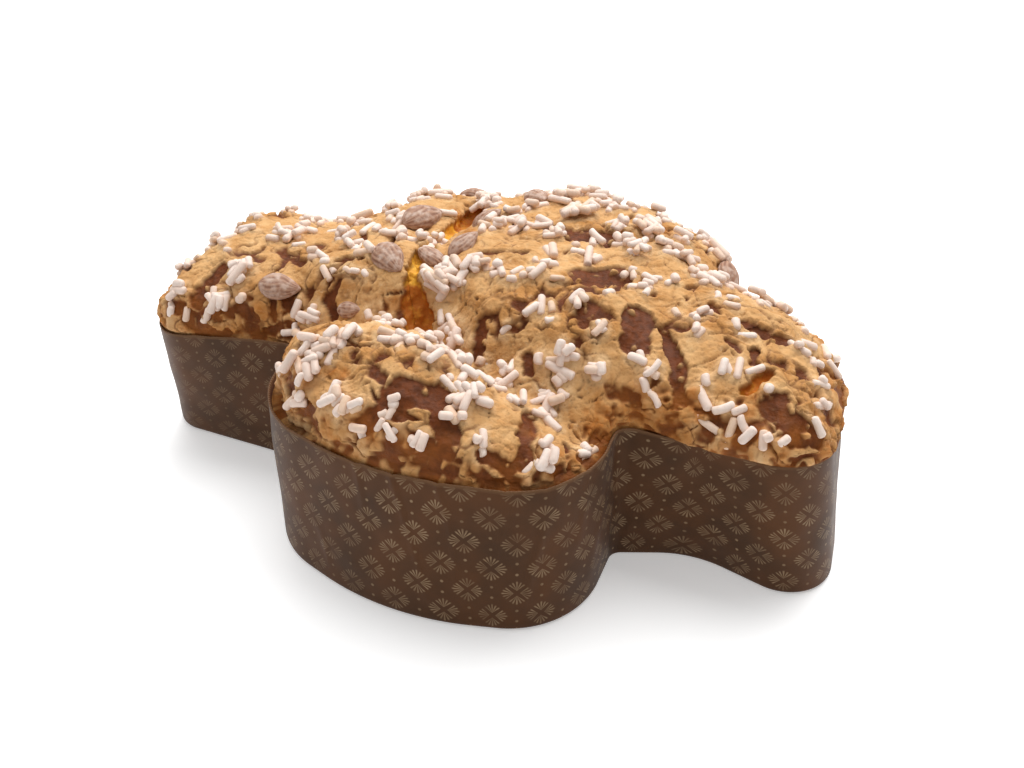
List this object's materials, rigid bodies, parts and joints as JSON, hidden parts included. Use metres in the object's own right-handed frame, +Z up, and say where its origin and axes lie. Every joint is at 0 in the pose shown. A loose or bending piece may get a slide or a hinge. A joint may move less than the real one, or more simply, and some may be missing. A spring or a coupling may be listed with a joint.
{
  "type": "colomba cake",
  "caption": "Uncut dove-shaped sweet loaf with a cracked almond glaze, pearl sugar rods and whole almonds, in its brown paper case.",
  "frame": {"origin": "under the middle of the paper case, on the surface it stands on", "axes": "+Z up; +X along the length, from the head lobe to the tail lobe; +Y towards the wing on the left of someone looking from head to tail"},
  "size_m": [0.2778, 0.1876, 0.0948],
  "materials": {
    "paper": "satin",
    "crust": "matte",
    "almond": "matte"
  },
  "bodies": {
    "root": {"paper_case": "paper", "cake": "crust", "almond_01": "almond", "almond_02": "almond", "almond_03": "almond", "almond_04": "almond", "almond_05": "almond", "almond_06": "almond", "almond_07": "almond", "almond_08": "almond", "almond_09": "almond", "almond_10": "almond", "almond_11": "almond"}
  },
  "joints": []
}
